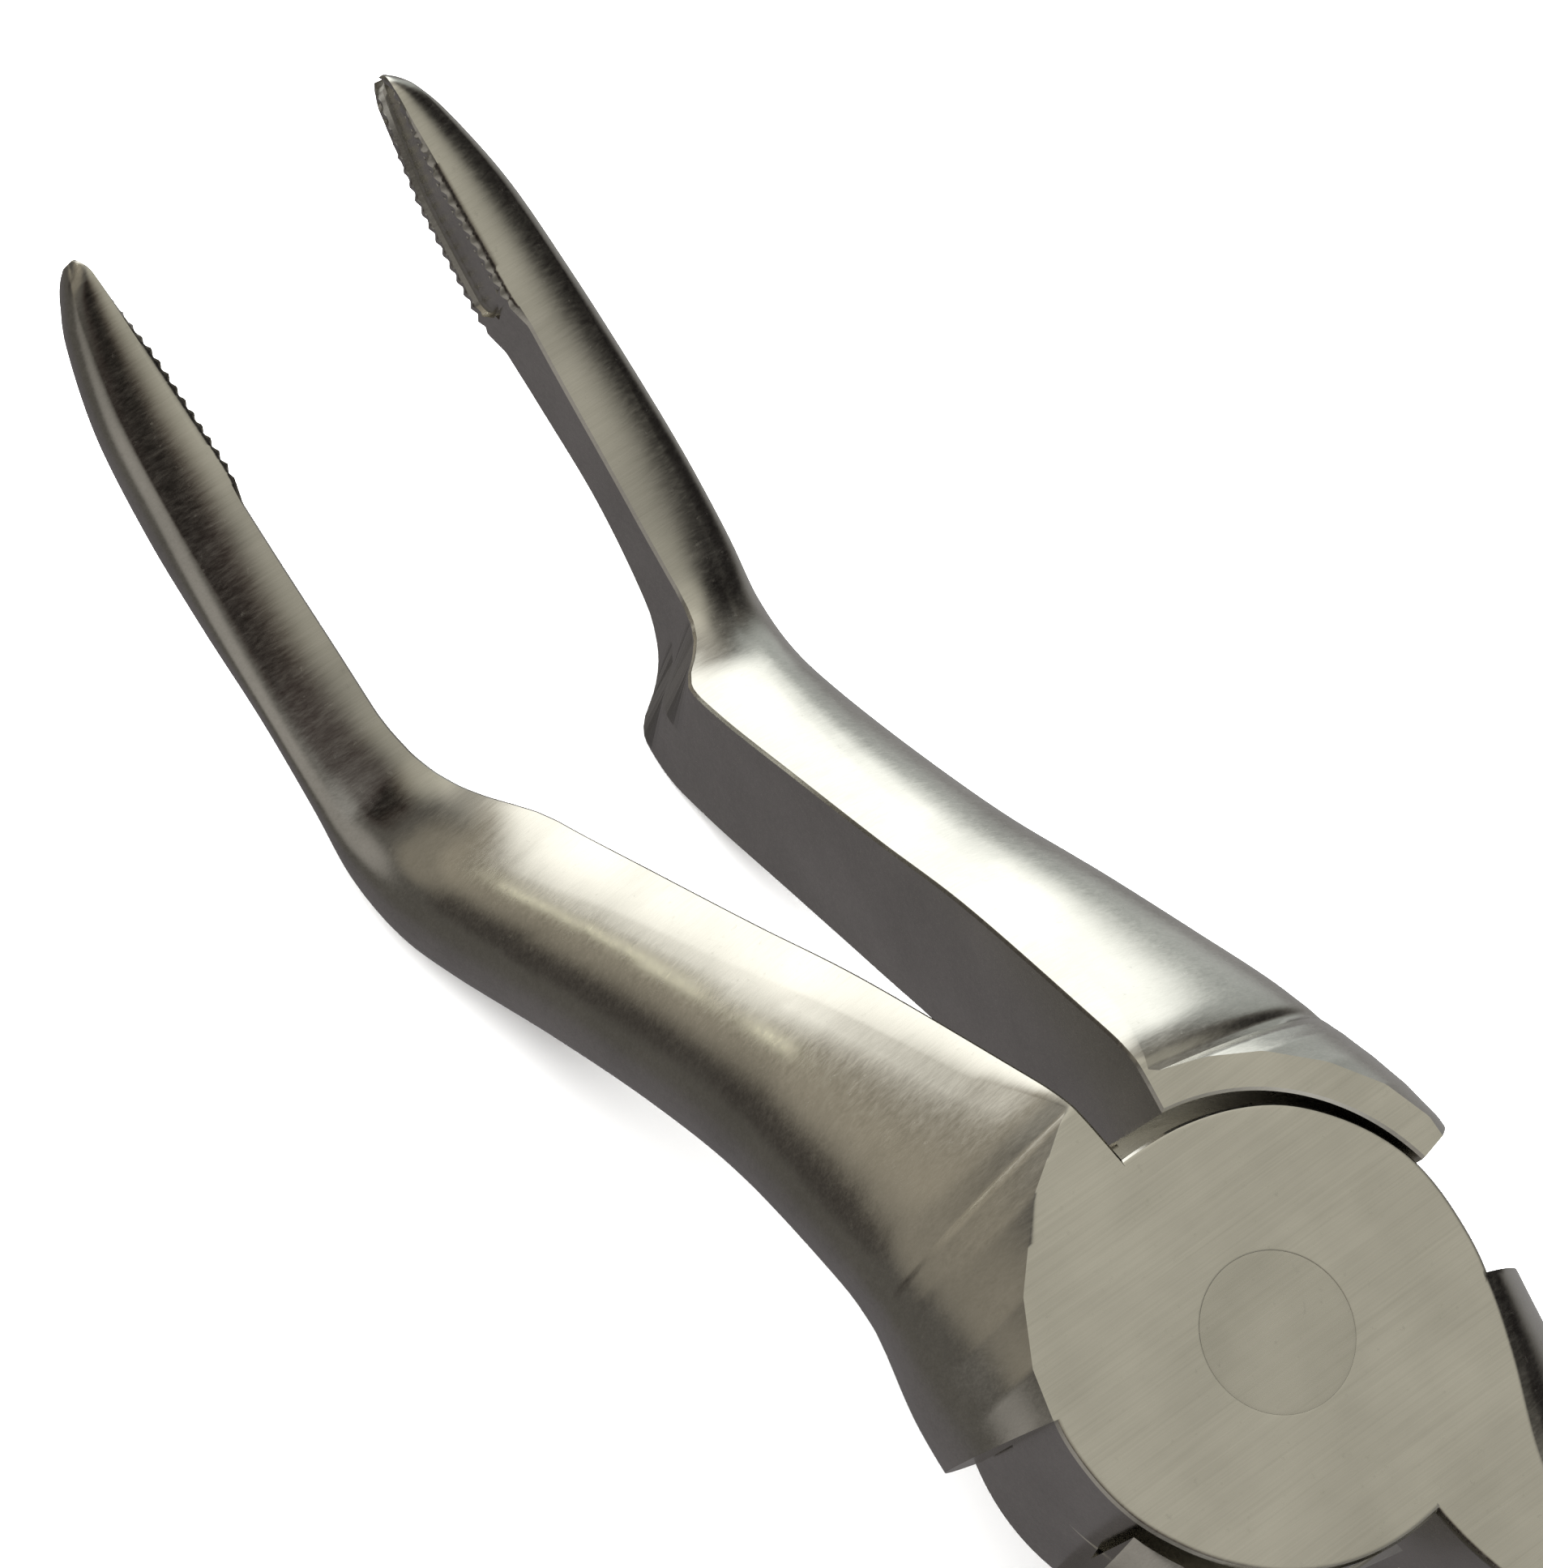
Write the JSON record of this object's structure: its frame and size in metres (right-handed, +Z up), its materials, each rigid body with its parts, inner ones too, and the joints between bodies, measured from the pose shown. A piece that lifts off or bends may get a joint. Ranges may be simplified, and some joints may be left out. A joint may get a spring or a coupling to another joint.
{
  "type": "fishing pliers",
  "caption": "Spring-opened long-nose pliers with offset, serrated jaws on a flush-riveted lap joint and two dipped grips.",
  "frame": {"origin": "on the table under the middle of the pliers' bounding box, as they lie on both jaw heels and both grip ends", "axes": "+Z up, +Y from the grips to the jaw tips, +X towards the rear arm's jaw; the pivot leans back 7.04 degrees from +Z towards -Y"},
  "size_m": [0.0688, 0.2026, 0.0299],
  "materials": {
    "steel": "satin stainless with fine brush lines, polished on the noses",
    "rivet_steel": "ground flush with the joint face",
    "spring_steel": "dull spring steel",
    "grip": "black dipped vinyl"
  },
  "bodies": {
    "front": {"front_arm": "steel", "pivot_rivet": "rivet_steel", "front_grip": "grip", "front_spring_screw": "spring_steel", "return_spring": "spring_steel"},
    "rear": {"rear_arm": "steel", "rear_grip": "grip", "rear_spring_screw": "spring_steel"}
  },
  "joints": [
    {"name": "jaw_hinge", "type": "hinge", "parent": "front", "child": "rear", "pos_m": [0, 0.02558, 0.02832], "axis": [0, 0.1226, -0.9925], "range_deg": [-14.1, 20], "stiffness_Nm_per_rad": 0.6, "deforming": ["return_spring"]}
  ]
}
